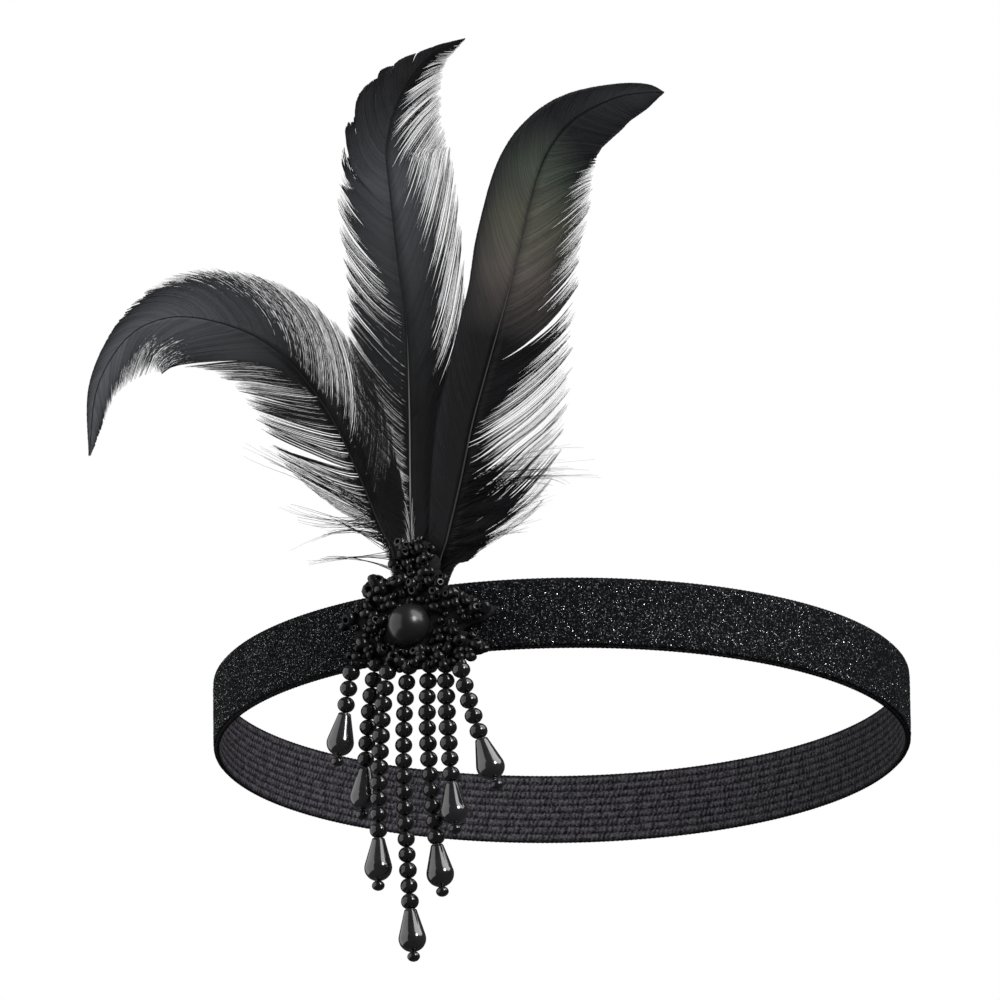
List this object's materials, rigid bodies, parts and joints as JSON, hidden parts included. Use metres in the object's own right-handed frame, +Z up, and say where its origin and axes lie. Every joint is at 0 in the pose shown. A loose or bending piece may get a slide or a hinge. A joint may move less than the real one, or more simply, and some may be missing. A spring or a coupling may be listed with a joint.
{
  "type": "feather headband",
  "caption": "Elastic headband with a glittered outer face, a beaded rosette and cabochon, curved feathers standing at the front and a fringe of bead strings ending in teardrops.",
  "frame": {"origin": "centre of the elastic loop at half its height, where the head goes through", "axes": "+Z up along the loop's axis, -Y towards the rosette, feathers rise along +Z"},
  "size_m": [0.1717, 0.1821, 0.2235],
  "materials": {
    "elastic": "glittered velvet outside, ribbed elastic inside",
    "seed_beads": "glossy black seed beads on felt",
    "cabochon": "polished black",
    "feather": "dyed black feather with a soft sheen",
    "beads": "polished black round beads",
    "drops": "polished dark grey teardrops"
  },
  "bodies": {
    "root": {"elastic_band": "elastic", "bead_rosette": "seed_beads", "cabochon": "cabochon", "feather_left": "feather", "feather_middle": "feather", "feather_right": "feather", "bead_string_1": "beads", "bead_string_2": "beads", "bead_string_3": "beads", "bead_string_4": "beads", "bead_string_5": "beads", "bead_string_6": "beads", "bead_string_7": "beads", "teardrop_1": "drops", "teardrop_2": "drops", "teardrop_3": "drops", "teardrop_4": "drops", "teardrop_5": "drops", "teardrop_6": "drops", "teardrop_7": "drops"}
  },
  "joints": []
}
